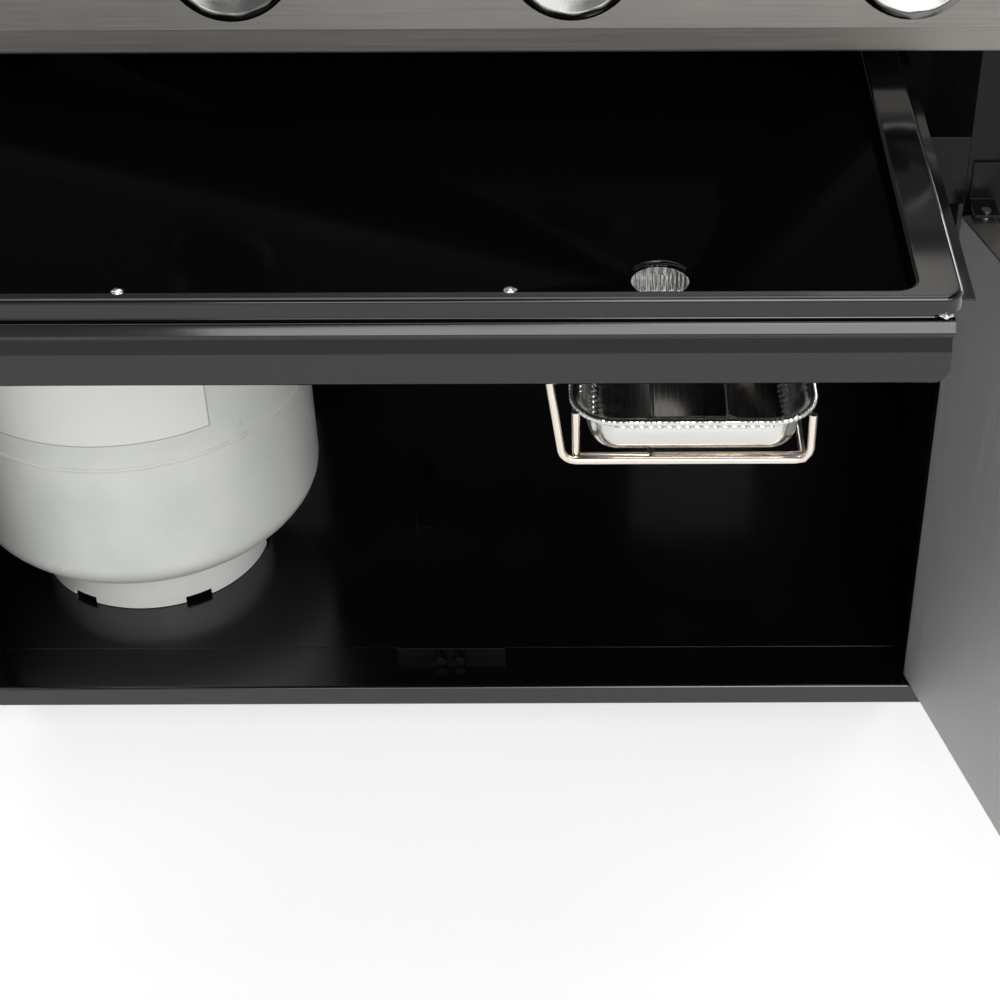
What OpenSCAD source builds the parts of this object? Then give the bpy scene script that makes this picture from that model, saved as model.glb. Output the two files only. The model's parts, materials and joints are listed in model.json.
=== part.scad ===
// Four-burner gas grill on a two-door cabinet, with a grease tray that pulls out over the doors.
// Millimetres, +Z up, +Y to the back. Inside the modules Y = 0 is the front edge of the ledge;
// in_row() then puts the middle of the whole grill on the Z axis.

/* [Cabinet] */
// Width across the two side panels
cab_w = 880; // [860:1:960]
// Depth from the ledge's front edge to the back
cab_d = 470; // [460:1:520]
// Height of the ledge and the cabinet floor above the ground
floor_z = 100; // [98:1:130]
// Depth of the front ledge
ledge_d = 50; // [46:1:70]
// Height of the lip in front of the ledge
lip_h = 21; // [16:1:22]
// Height of the side panels' top edge
side_top = 850; // [845:1:870]
// Width of the front stile on each side
stile_w = 48; // [44:1:60]
// Depth of a stile's folded return
stile_d = 16; // [12:1:24]
// Distance of the stiles behind the ledge's front edge
stile_y = 29; // [28:1:36]
// Thickness of the cabinet's sheet steel
sheet_t = 1.2; // [0.8:0.1:2]

/* [Doors] */
// Thickness of a door
door_t = 22; // [18:1:22]
// Height of the doors' top edge
door_top = 553; // [520:1:553]
// How far the doors stand open
door_open = 105.9; // [80:0.1:110]
// How far a door laps over its stile
door_lap = 18.7; // [14:0.1:22]
// Diameter of the hinge pins
pin_d = 7; // [5:0.5:8]
// Distance of the hinge axis from a door's outer edge and from its face
pin_edge = 6; // [5.5:0.5:7]
// Length of a door's bar handle
door_bar = 300; // [200:5:380]

/* [Grease tray] */
// Width across the tray's sliding lips
tray_w = 673; // [640:1:690]
// Depth of the tray
tray_d = 430; // [400:1:440]
// Height of the tray's rim
tray_z = 690; // [686:0.5:692]
// How far the tray is pulled out
tray_out = 317; // [260:1:330]
// Depth of the drain below the rim
tray_drop = 75; // [60:1:76]
// Diameter of the drain hole
drain_d = 37; // [28:1:40]
// Place of the drain, to the right of the middle
drain_x = 165; // [140:1:180]
// Distance of the drain behind the tray's front face
drain_y = 139; // [125:1:150]
// Wall of the enamelled steel tray
tray_t = 1.5; // [1.2:0.1:2]

/* [Drip pan] */
// Width of the foil pan's rim
pan_w = 149; // [130:1:156]
// Depth of the foil pan, front to back
pan_d = 195; // [180:1:210]
// Height of the foil pan
pan_h = 34; // [26:1:36]
// Place of the pan, to the right of the middle
pan_x = 182.5; // [172:0.5:192]
// Diameter of the holder's wire
wire_d = 5; // [4:0.5:5.5]

/* [Controls] */
// Height of the control panel's bottom edge
panel_z = 703; // [700:1:710]
// Distance of the control panel's front in front of the ledge
panel_out = 36; // [30:1:44]
// Height of the upright flange under the panel's slope
flange_h = 17.5; // [14:0.5:22]
// Height of the control panel's top
panel_top = 830; // [822:1:834]
// Lean of the control panel's face
panel_tilt = 15; // [12:0.5:18]
// Distance between two knobs
knob_pitch = 220; // [190:1:224]
// Diameter of a knob's bezel
bezel_d = 90; // [70:1:92]
// Diameter of a knob
knob_d = 50; // [42:1:56]

/* [Firebox and lid] */
// Distance of the firebox's top edge from each side of the cabinet
box_gap = 40; // [34:1:50]
// Height of the firebox's top edge
box_top = 880; // [876:1:890]
// Wall of the firebox
box_t = 3; // [2:0.5:4]
// Height of the lid above the firebox
lid_h = 295; // [280:1:330]
// Thickness of the lid's end castings
lid_end_t = 8; // [6:0.5:10]
// Length of the lid's handle
lid_bar = 600; // [480:5:680]
// Length of a side shelf
shelf_w = 280; // [220:1:360]

/* [Gas cylinder] */
// Diameter of the gas cylinder
tank_d = 310; // [290:1:312]
// Height of the gas cylinder with its collar
tank_h = 447; // [430:1:447]

/* [Casters] */
// Diameter of a caster's wheel
wheel_d = 75; // [60:1:75]
// Width of a caster's wheel
wheel_w = 24; // [18:1:28]
// Distance from the swivel to the wheel's axle
trail = 18; // [12:1:22]

/* [Hidden] */
$fn = 48;

// Running clearance of a pin in its hole, on the radius
fit = 0.05;
// Gap between two pieces that slide past each other
slip = 0.3;
eps = 0.01;

half_w = cab_w / 2;
opening_x = half_w - stile_w;
// The closed doors lie in front of the stiles, and meet in the middle.
door_y = stile_y - 4 - door_t;
pin_x = opening_x + door_lap - pin_edge;
pin_y = door_y + pin_edge;
door_z = floor_z + 4;
door_gap = 2;
door_w = pin_x + pin_edge - door_gap;
skin_t = 1;
boss_h = 14;
// The open doors reach furthest to the front, and the side panels and the lid to the back.
door_reach = (pin_x - door_gap) * sin(door_open) - (door_t - pin_edge) * cos(door_open);
row_y = -(pin_y - door_reach + cab_d) / 2;

tray_front = door_y + 1 - tray_out;
lip_w = 8;
side_rim = 26;
front_rim = 10;
back_rim = 20;
skirt_h = 11;
cavity_h = 15;
body_w = tray_w - 2 * lip_w;
cavity_w = body_w - 2 * side_rim;
cavity_front = tray_front + front_rim;
cavity_back = tray_front + tray_d - back_rim;
tray_low = tray_z - tray_drop;
drain = [drain_x, tray_front + drain_y];

// The holder's wires pass just outside the foil pan's sloping sides.
holder_z = door_top + 3 + wire_d / 2;
pan_z = holder_z + wire_d / 2;
pan_front = tray_front + 16;
pan_rim = 7;
pan_taper = 5;
pan_round = 10;
pan_corner = 30;
post_reach = pan_w / 2 - pan_rim + wire_d / 2 + slip;
holder_left = pan_x - post_reach;
holder_right = pan_x + post_reach;
holder_front = pan_front + 11;
holder_rear = pan_front + pan_d - 9;

slope_z = panel_z + flange_h;
knob_up = 5 + bezel_d / 2;
stem_d = 8;
pipe_d = 20;
valve_back = 52;
pipe_y = -panel_out + knob_up * sin(panel_tilt) + (valve_back + pipe_d / 2) * cos(panel_tilt);
pipe_z = slope_z + knob_up * cos(panel_tilt) - (valve_back + pipe_d / 2) * sin(panel_tilt);
pipe_long = 3 * knob_pitch + 120;
inlet_x = -pipe_long / 2 + 12;
burner_d = 25;
burner_z = slope_z + 52;

box_w = cab_w - 2 * box_gap;
box_bottom = panel_z;
box_front = 50;
box_back = cab_d - 20;
box_narrow = 82;
box_shallow = 25;
tent_z = burner_z + 36;
grate_z = box_top - 22;

lid_w = box_w + 4;
lid_back = cab_d - 1;
lid_top = box_top + lid_h;
lid_pin = [cab_d - 15, box_top + 17];
lid_pin_d = 10;
lid_front = box_front - 6;
lid_bend = box_top + 130;
lid_round = 105;
bar_d = 24;
bar_out = 42;
bar_z = box_top + 78;
post_x = lid_bar / 2 - 30;
hinge_t = 6;

shelf_front = 8;
shelf_d = cab_d - 20;
shelf_h = 28;
shelf_corner = 22;

caster_x = half_w - 45;
caster_ys = [110, cab_d - 70];
channel_z = floor_z - 20;
stem_top = channel_z + 12;
stem_r = 5;
axle_d = 8;
cheek_t = 2.5;
cheek_gap = wheel_w / 2 + 1.2;
crown_z = wheel_d + 1.6;

tank_x = -(half_w - sheet_t - tank_d / 2 - 3);
tank_y = 205;
tank_z = floor_z + slip;
foot_d = 205;
collar_d = 216;
tank_wall = 2.6;
dome_h = 62;
shell_low = tank_z + 26;
shell_top = tank_z + tank_h - 84;
collar_top = tank_z + tank_h;

// ---- helpers -------------------------------------------------------------------------------

module in_row() translate([0, row_y, 0]) children();
module at_side(side) mirror([side < 0 ? 1 : 0, 0, 0]) children();
// Draws a side-view profile (Y across, Z up) and runs it along X.
module along_x(length) rotate([90, 0, 90]) linear_extrude(length, center = true) children();
module rod(from, to, d) {
    v = to - from;
    translate(from)
        rotate([0, acos(v[2] / norm(v)), atan2(v[1], v[0])])
            cylinder(h = norm(v), d = d, $fn = 10);
}

function unit(v) = v / norm(v);
function cross2(a, b) = a[0] * b[1] - a[1] * b[0];
function turned(v, a) = [v[0] * cos(a) - v[1] * sin(a), v[0] * sin(a) + v[1] * cos(a)];
// The arc that rounds corner b of a path a-b-c with radius r, in n steps
function bend(a, b, c, r, n) =
    let (u = unit(a - b), w = unit(c - b), half = acos(u * w) / 2)
    let (centre = b + unit(u + w) * r / sin(half), start = b + u * r / tan(half))
    let (swing = (180 - 2 * half) * sign(cross2(u, w)) * -1)
    [for (i = [0:n]) centre + turned(start - centre, swing * i / n)];
// An open path with its inner corners rounded
function rounded(p, r, n = 4) =
    let (last = len(p) - 1)
    [p[0], for (i = [1:last - 1]) each bend(p[i - 1], p[i], p[i + 1], r, n), p[last]];
// A closed outline with every corner rounded
function rounded_ring(p, r, n = 6) =
    let (k = len(p))
    [for (i = [0:k - 1]) each bend(p[(i + k - 1) % k], p[i], p[(i + 1) % k], r, n)];
// A path moved sideways by t, to the left of its direction
function beside(p, t) =
    let (last = len(p) - 1)
    [for (i = [0:last])
        let (a = unit(p[min(i + 1, last)] - p[min(i, last - 1)]))
        let (b = unit(p[max(i, 1)] - p[max(i - 1, 0)]))
        let (m = unit([-a[1] - b[1], a[0] + b[0]]))
        p[i] + m * t / (m * [-a[1], a[0]])];
// A bent wire of diameter d: the flat path p, drawn in the plane of the axes u and v
module wire(p, u, v, d, origin = [0, 0, 0], sides = 12) {
    last = len(p) - 1;
    up = cross(u, v);
    across = [for (i = [0:last])
        let (a = unit(p[min(i + 1, last)] - p[min(i, last - 1)]))
        let (b = unit(p[max(i, 1)] - p[max(i - 1, 0)]))
        unit([-a[1] - b[1], a[0] + b[0]])];
    points = [for (i = [0:last], k = [0:sides - 1])
        let (o = origin + p[i][0] * u + p[i][1] * v, w = across[i][0] * u + across[i][1] * v)
        o + d / 2 * (cos(360 * k / sides) * w + sin(360 * k / sides) * up)];
    walls = [for (i = [0:last - 1], k = [0:sides - 1])
        let (n = (k + 1) % sides)
        [(i + 1) * sides + k, (i + 1) * sides + n, i * sides + n, i * sides + k]];
    polyhedron(points, concat([[for (k = [0:sides - 1]) k]], walls,
                              [[for (k = [sides - 1:-1:0]) last * sides + k]]));
}
function reversed(p) = [for (i = [len(p) - 1:-1:0]) p[i]];
// Folded sheet of thickness t, seen from its edge
module folded(p, t) polygon(concat(p, reversed(beside(p, t))));
function block(w, d) = [[-w / 2, 0], [w / 2, 0], [w / 2, d], [-w / 2, d]];

// Height of the tray's underside: the highest of the four planes that rise from the drain
function rise(distance, run) = tray_z - cavity_h - tray_t - (tray_drop - cavity_h) * distance / run;
function under_tray(x, y) = max(
    rise(cavity_back - y, cavity_back - drain[1] - drain_d / 2),
    rise(y - cavity_front, drain[1] - drain_d / 2 - cavity_front),
    rise(x + cavity_w / 2, drain[0] - drain_d / 2 + cavity_w / 2),
    rise(cavity_w / 2 - x, cavity_w / 2 - drain[0] - drain_d / 2));

// Firebox walls lean in towards the bottom.
function box_share(z) = (box_top - z) / (box_top - box_bottom);
function wall_front(z) = box_front + box_shallow * box_share(z);
function wall_back(z) = box_back - box_shallow * box_share(z);
function wall_side(z) = box_w / 2 - box_narrow * box_share(z);

module on_panel(x, up)
    translate([x, -panel_out + up * sin(panel_tilt), slope_z + up * cos(panel_tilt)])
        rotate([90 - panel_tilt, 0, 0])
            children();
function knob_x(i) = (i - 1.5) * knob_pitch;

// ---- cabinet -------------------------------------------------------------------------------

module front_rail() color("#3a3a3a") in_row() {
    lip_return = 14;
    path = rounded([[ledge_d, floor_z], [0, floor_z], [0, floor_z - lip_h], [lip_return, floor_z - lip_h]], 3);
    difference() {
        along_x(cab_w) folded(path, sheet_t);
        for (side = [-1, 1])
            translate([side * pin_x, pin_y, floor_z - 5]) cylinder(h = 10, d = pin_d + 2 * fit);
    }
}

module bottom_shelf() color("#0c0c0c") in_row() difference() {
    translate([-half_w, ledge_d, floor_z - lip_h]) cube([cab_w, cab_d - ledge_d, lip_h]);
    translate([-half_w + sheet_t, ledge_d - 1, floor_z - lip_h - 1])
        cube([cab_w - 2 * sheet_t, cab_d - ledge_d - sheet_t + 1, lip_h - sheet_t + 1]);
}

module base_channels() color("#1c1c1c") in_row() {
    channel_w = 64;
    wall = 2;
    high = floor_z - sheet_t - channel_z;
    long = cab_w - 2 * sheet_t;
    for (y = caster_ys) difference() {
        translate([-long / 2, y - channel_w / 2, channel_z]) cube([long, channel_w, high]);
        translate([-long / 2 - 1, y - channel_w / 2 + wall, channel_z + wall])
            cube([long + 2, channel_w - 2 * wall, high]);
        for (side = [-1, 1])
            translate([side * caster_x, y, channel_z - 1]) cylinder(h = wall + 2, r = stem_r + fit);
    }
}

module side_panel(side) color("#202020") in_row() at_side(side) {
    back_return = 30;
    path = [[opening_x, stile_y + stile_d], [opening_x, stile_y], [half_w, stile_y],
            [half_w, cab_d], [half_w - back_return, cab_d]];
    translate([0, 0, floor_z])
        linear_extrude(side_top - floor_z) folded(path, sheet_t);
    // Inward flange that carries the firebox
    top_flange = 24;
    translate([half_w - top_flange, stile_y, side_top - sheet_t])
        cube([top_flange, cab_d - stile_y, sheet_t]);
}

module back_panel() color("#202020") in_row() {
    slot = [130, 9];
    slot_pitch = 26;
    difference() {
        translate([-half_w + sheet_t, cab_d - 2 * sheet_t, floor_z])
            cube([cab_w - 2 * sheet_t, sheet_t, panel_z - floor_z - 40]);
        for (column = [-1, 1], row = [0:5])
            translate([column * 230 - slot[0] / 2, cab_d - 10, floor_z + 60 + row * slot_pitch])
                cube([slot[0], 20, slot[1]]);
    }
}

module front_valance() color("#202020") in_row() {
    top = tray_low - 9;
    notch = [pan_w + 38, holder_z - wire_d / 2 - 7];
    strap = 21;
    path = [[-opening_x, stile_y + 14], [-opening_x, stile_y], [opening_x, stile_y], [opening_x, stile_y + 14]];
    difference() {
        translate([0, 0, notch[1] - strap])
            linear_extrude(top - notch[1] + strap) folded(path, sheet_t);
        translate([pan_x - notch[0] / 2, stile_y - 1, notch[1]])
            cube([notch[0], 4, top]);
        // The sheet below the doors' top edge is only a strap under the notch.
        for (x = [[-opening_x - 1, pan_x - notch[0] / 2 - 25], [pan_x + notch[0] / 2 + 25, opening_x + 1]])
            translate([x[0], stile_y - 1, notch[1] - strap - 1])
                cube([x[1] - x[0], 30, strap + 4]);
    }
}

module hinge_brackets() color("#8c8c8c") in_row() for (side = [-1, 1]) at_side(side) {
    ear = [18, stile_y - pin_y + 6, 2.5];
    left = pin_x - ear[0] / 2;
    ear_z = door_top + 2;
    plate = [26, 2.5, 32];
    // Upper bracket: an ear over the door, bent from a plate on the stile
    difference() {
        union() {
            translate([left, pin_y - 6, ear_z]) cube(ear);
            translate([left, stile_y - plate[1], ear_z]) cube(plate);
        }
        translate([pin_x, pin_y, door_top]) cylinder(h = 8, d = pin_d + 2 * fit);
    }
    // Lower bracket: a bearing plate on the ledge
    difference() {
        translate([left, pin_y - 6, floor_z]) cube([24, ear[1] - 2, 2]);
        translate([pin_x, pin_y, floor_z - 1]) cylinder(h = 8, d = pin_d + 2 * fit);
    }
}

module door_catch() color("#141414") in_row() {
    plate = [94, 1.2, 11];
    foot = 16;
    magnet_d = 9;
    door_back = door_y + door_t;
    catch_y = door_back + 12;
    translate([-plate[0] / 2, catch_y, floor_z]) cube(plate);
    translate([-plate[0] / 2, catch_y, floor_z]) cube([plate[0], foot, plate[1]]);
    // A magnet for each door
    for (side = [-1, 1]) translate([side * 8, catch_y, floor_z + magnet_d / 2 + 1])
        rotate([90, 0, 0]) cylinder(h = catch_y - door_back - 2 * slip, d = magnet_d);
}

module tray_rail(side) color("#101010") in_row() at_side(side) {
    foot_z = tray_z - skirt_h - slip;
    inner_x = tray_w / 2 + slip + 0.5;
    rail_t = 1.5;
    top_z = box_bottom - rail_t;
    outer_x = box_w / 2 - box_narrow + 46;
    // A Z section: the foot carries the tray's lip, and the top flange is fixed under the firebox.
    path = [[inner_x - lip_w - 1, foot_z - rail_t], [inner_x + rail_t, foot_z - rail_t],
            [inner_x + rail_t, top_z], [outer_x, top_z]];
    translate([0, stile_y + 6, 0])
        rotate([90, 0, 0]) translate([0, 0, -(cab_d - stile_y - 30)])
            linear_extrude(cab_d - stile_y - 30) folded(path, rail_t);
}

module cylinder_guide() color("#101010") in_row() {
    guide = [13, 99, 14];
    guide_x = tank_x + tank_d / 2 + 84;
    translate([guide_x, tank_y + 11, floor_z]) cube([guide[0], guide[1], 1.5]);
    translate([guide_x, tank_y + 11, floor_z]) cube([1.5, guide[1], guide[2]]);
}

// ---- doors ---------------------------------------------------------------------------------

// Puts a door piece, drawn closed on the right side, at its hinge in the open position.
module hung(side) in_row() at_side(side)
    translate([pin_x, pin_y, 0]) rotate([0, 0, door_open]) translate([-pin_x, -pin_y, 0])
        children();

module door(side) color("#b9bab8") hung(side) difference() {
    translate([door_gap, door_y, door_z]) cube([door_w, door_t, door_top - door_z]);
    translate([door_gap + skin_t, door_y + skin_t, door_z + skin_t])
        cube([door_w - 2 * skin_t, door_t, door_top - door_z - 2 * skin_t]);
    translate([pin_x, pin_y, door_z - 5]) cylinder(h = door_top - door_z + 10, d = pin_d);
}

module door_liner(side) color("#6f706e") hung(side) {
    inset = door_gap + skin_t;
    rib = [30, 9];
    translate([inset, door_y + door_t - skin_t, door_z + skin_t])
        cube([door_w - 2 * skin_t, skin_t, door_top - door_z - 2 * skin_t]);
    // Two hat ribs behind the liner stiffen the door.
    for (x = [0.3, 0.65])
        translate([inset + door_w * x, door_y + door_t - skin_t - rib[1], door_z + 30])
            difference() {
                cube([rib[0], rib[1], door_top - door_z - 60]);
                translate([skin_t, skin_t, -1])
                    cube([rib[0] - 2 * skin_t, rib[1], door_top - door_z]);
            }
}

module door_pins(side) color("#9a9a9a") hung(side)
    for (end = [0, 1]) {
        z = end == 0 ? door_z + skin_t : door_top - skin_t - boss_h;
        reach = 2 * (pin_edge - skin_t);
        // Boss inside the door's corner, and the pin that leaves it
        translate([pin_x + pin_edge - skin_t - reach, door_y + skin_t, z]) cube([reach, reach, boss_h]);
        translate([pin_x, pin_y, end == 0 ? floor_z - 3 : door_top - skin_t - 1])
            cylinder(h = end == 0 ? door_z + skin_t - floor_z + 4 : 8, d = pin_d);
    }

module door_handle(side) color("#c9c9c7") hung(side) {
    bar_d = 14;
    stand = 34;
    x = door_gap + 30;
    middle = (door_z + door_top) / 2 + 40;
    translate([x, door_y - stand, middle - door_bar / 2]) cylinder(h = door_bar, d = bar_d);
    for (end = [-1, 1])
        translate([x, door_y, middle + end * (door_bar / 2 - 35)])
            rotate([90, 0, 0]) cylinder(h = stand, d = 10);
}

// ---- grease tray and drip pan --------------------------------------------------------------

// Flat blank of the tray with rounded corners, its front edge at Y = 0
module blank(w, d, r) polygon(rounded_ring(block(w, d), r));

module grease_tray() color("#0b0b0c") in_row() difference() {
    union() {
        translate([0, tray_front, tray_z - skirt_h]) {
            // Rim with its turned-down skirt
            difference() {
                linear_extrude(skirt_h) blank(body_w, tray_d, 12);
                translate([0, tray_t, -1])
                    linear_extrude(skirt_h - tray_t + 1) blank(body_w - 2 * tray_t, tray_d - 2 * tray_t, 10.5);
            }
            // Lips that run in the rails
            for (side = [-1, 1])
                translate([side > 0 ? body_w / 2 - tray_t : -tray_w / 2, 14, 0])
                    cube([lip_w + tray_t, tray_d - 28, tray_t]);
        }
        // Outside of the basin: upright walls, then slopes down to the drain
        translate([0, cavity_front - tray_t, tray_z - cavity_h - tray_t])
            linear_extrude(cavity_h) blank(cavity_w + 2 * tray_t, cavity_back - cavity_front + 2 * tray_t, 13);
        hull() {
            translate([0, cavity_front - tray_t, tray_z - cavity_h - tray_t])
                linear_extrude(eps) blank(cavity_w + 2 * tray_t, cavity_back - cavity_front + 2 * tray_t, 13);
            translate([drain[0], drain[1], tray_low - tray_t])
                cylinder(h = eps, d = drain_d + 2 * tray_t, $fn = 32);
        }
    }
    translate([0, cavity_front, tray_z - cavity_h])
        linear_extrude(cavity_h + 1) blank(cavity_w, cavity_back - cavity_front, 11.5);
    hull() {
        translate([0, cavity_front, tray_z - cavity_h])
            linear_extrude(eps) blank(cavity_w, cavity_back - cavity_front, 11.5);
        translate([drain[0], drain[1], tray_low]) cylinder(h = eps, d = drain_d, $fn = 32);
    }
    translate([drain[0], drain[1], tray_low - 5]) cylinder(h = 10, d = drain_d);
}

module tray_handle() color("#17181a") in_row() {
    grip_w = tray_w - 25;
    top = tray_z - skirt_h - 3;
    low = tray_z - 57;
    corner = 11;
    // Welded behind the skirt: a nose that slopes forward under the rim, a hollow for the
    // fingertips, a flat face and a turned-in edge
    path = rounded([[tray_t, tray_z - tray_t - 1], [tray_t, top], [-2, top], [-6, top - 7],
                    [2, top - 12], [-1, top - 21.5], [-1, low], [8, low]], tray_t + 0.2, 3);
    // The welded flange stays clear of the skirt's round corners.
    tab = body_w / 2 - 16;
    translate([0, tray_front, 0]) difference() {
        along_x(grip_w) folded(path, tray_t);
        for (side = [-1, 1]) at_side(side) {
            translate([tab, 0.1, top + 0.1]) cube([grip_w, 10, tray_z]);
            translate([0, 12, 0]) rotate([90, 0, 0]) linear_extrude(14)
                polygon(concat(bend([0, low], [grip_w / 2, low], [grip_w / 2, tray_z], corner, 8),
                               [[grip_w / 2 + 1, low + corner], [grip_w / 2 + 1, low - 1],
                                [grip_w / 2 - corner, low - 1]]));
        }
    }
}

// Height at which a wire's end at (x, y) meets the tray's sloping underside
function hang_z(x, y) = under_tray(x, y) - slip - 0.36 * wire_d;

module pan_holder() color("#c8c4bd") in_row() {
    r = 9;
    post_top = pan_z + pan_h - 3;
    low = [holder_left - 8, holder_z];
    // Loops at the front and the back, with the left arm spread: it hangs under the tray.
    for (y = [holder_front, holder_rear]) {
        arm_x = low[0] - 13;
        arm = [arm_x, hang_z(arm_x, y)];
        right_top = y == holder_front ? post_top : hang_z(holder_right, y);
        wire(rounded([arm, low, [holder_right, holder_z], [holder_right, right_top]], r),
             [1, 0, 0], [0, 0, 1], wire_d, [0, y, 0]);
    }
    // Side wires that carry the pan, with posts under its rim
    weld = 3.3;
    wire(rounded([[holder_front + weld, post_top], [holder_front + weld, holder_z],
                  [holder_rear - weld, holder_z], [holder_rear - weld, post_top]], r / 2),
         [0, 1, 0], [0, 0, 1], wire_d, [holder_left, 0, 0]);
    rod([holder_right - 4, holder_front, holder_z], [holder_right - 4, holder_rear, holder_z], wire_d - 0.4);
    rod([pan_x - 25, holder_front, holder_z], [pan_x - 25, holder_rear, holder_z], wire_d - 0.4);
    // Second wire along the front loop, for stiffness
    doubled = holder_front + 0.92 * wire_d;
    rod([holder_left, doubled, holder_z], [holder_right - 4, doubled, holder_z], wire_d - 0.4);
}

module foil_pan() color("#d4d4d2") in_row() translate([pan_x, pan_front, pan_z + slip]) {
    foil = 0.6;
    w = pan_w - 2 * pan_rim;
    d = pan_d - 2 * pan_rim;
    corner = pan_corner - pan_rim;
    difference() {
        union() {
            translate([0, 0, pan_h - 3]) linear_extrude(3) blank(pan_w, pan_d, pan_corner);
            pan_form(w, d, corner, 0);
        }
        pan_form(w - 2 * foil, d - 2 * foil, corner - foil, foil);
    }
}

// The pan's tapered body, or its hollow when it is lifted by the foil's thickness
module pan_form(w, d, corner, foil) hull() {
    inset = pan_taper + pan_round;
    translate([0, pan_rim + foil, pan_h - 1]) linear_extrude(1 + foil) blank(w, d, corner);
    translate([0, pan_rim + pan_taper + foil, pan_round + foil])
        linear_extrude(eps) blank(w - 2 * pan_taper, d - 2 * pan_taper, corner - 3);
    translate([0, pan_rim + inset + foil, foil])
        linear_extrude(eps) blank(w - 2 * inset, d - 2 * inset, corner - 9);
}

// ---- controls and gas line -----------------------------------------------------------------

function panel_face() = [[-panel_out + 20, panel_z], [-panel_out, panel_z], [-panel_out, slope_z],
    [-panel_out + (panel_top - slope_z) * tan(panel_tilt), panel_top], [stile_y, panel_top]];

module control_panel() color("#a9a8a4") in_row() {
    path = rounded(panel_face(), 2.5);
    difference() {
        union() {
            along_x(cab_w) folded(path, -sheet_t);
            for (side = [-1, 1])
                translate([side * (half_w - sheet_t / 2), 0, 0])
                    along_x(sheet_t) polygon(concat(panel_face(), [[stile_y, panel_z]]));
        }
        for (i = [0:3]) on_panel(knob_x(i), knob_up) translate([0, 0, -10]) cylinder(h = 20, d = 16);
    }
}

module knob_bezels() color("#bdbcb8") in_row() for (i = [0:3]) on_panel(knob_x(i), knob_up) {
    ring_t = 3;
    rotate_extrude($fn = 64)
        polygon([[13, 0], [bezel_d / 2, 0], [bezel_d / 2, 1], [bezel_d / 2 - 2.5, ring_t],
                 [bezel_d / 2 - 6, ring_t], [bezel_d / 2 - 10, 1.2], [13, 1.2]]);
}

module knob(i) color("#2b2b2b") in_row() on_panel(knob_x(i), knob_up) {
    skirt = 4;
    grip = [12, knob_d - 6, 19];
    difference() {
        union() {
            translate([0, 0, 4]) cylinder(h = skirt, d1 = knob_d + 8, d2 = knob_d + 4);
            translate([0, 0, 8]) cylinder(h = 9, d1 = knob_d, d2 = knob_d - 4);
            intersection() {
                translate([-grip[0] / 2, -grip[1] / 2, 8]) cube(grip);
                cylinder(h = 40, d = knob_d - 4);
            }
        }
        // Pointer groove
        translate([-1, knob_d / 2 - 16, 8 + grip[2] - 0.8]) cube([2, 13, 2]);
    }
    translate([0, 0, -26]) cylinder(h = 32, d = stem_d);
}

module gas_manifold() color("#8f8f8c") in_row() {
    inlet_h = 34;
    hex_low = 26;
    bracket = 18;
    difference() {
        union() {
            translate([-pipe_long / 2, pipe_y, pipe_z]) rotate([0, 90, 0]) cylinder(h = pipe_long, d = pipe_d);
            // Inlet at the left end, where the regulator hose screws on
            translate([inlet_x, pipe_y, pipe_z - inlet_h]) cylinder(h = inlet_h, d = 15);
            translate([inlet_x, pipe_y, pipe_z - hex_low]) cylinder(h = 10, d = 22, $fn = 6);
            // Brackets on the firebox's front wall
            for (x = [-knob_pitch, 0, knob_pitch]) translate([x - bracket / 2, pipe_y, pipe_z - 5])
                cube([bracket, wall_front(pipe_z + 5) - slip - pipe_y, 10]);
        }
        translate([-pipe_long / 2 + 3, pipe_y, pipe_z]) rotate([0, 90, 0])
            cylinder(h = pipe_long - 6, d = pipe_d - 5);
        translate([inlet_x, pipe_y, pipe_z - inlet_h - 1]) cylinder(h = inlet_h + 1, d = 9);
    }
}

module burner_valves() color("#b08d4a") in_row() for (i = [0:3]) {
    body_d = 26;
    nozzle_y = wall_front(burner_z) - 3;
    difference() {
        union() {
            // Body from the manifold to the panel, whose inner face it is screwed to
            on_panel(knob_x(i), knob_up) translate([0, 0, -valve_back - 4])
                cylinder(h = valve_back + 4 - sheet_t, d = body_d);
            translate([knob_x(i), 0, burner_z]) rotate([-90, 0, 0]) cylinder(h = nozzle_y, d = 11);
        }
        translate([-half_w, pipe_y, pipe_z]) rotate([0, 90, 0]) cylinder(h = cab_w, d = pipe_d);
        on_panel(knob_x(i), knob_up) translate([0, 0, -27]) cylinder(h = 40, d = stem_d + 2 * fit);
        translate([knob_x(i), 10, burner_z]) rotate([-90, 0, 0]) cylinder(h = 80, d = 3);
    }
}

// ---- firebox -------------------------------------------------------------------------------

module box_form(grow) hull() {
    translate([-box_w / 2 - grow, box_front - grow, box_top - eps])
        cube([box_w + 2 * grow, box_back - box_front + 2 * grow, eps]);
    translate([-box_w / 2 + box_narrow - grow, box_front + box_shallow - grow, box_bottom])
        cube([box_w - 2 * box_narrow + 2 * grow, box_back - box_front - 2 * box_shallow + 2 * grow, eps]);
}

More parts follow.
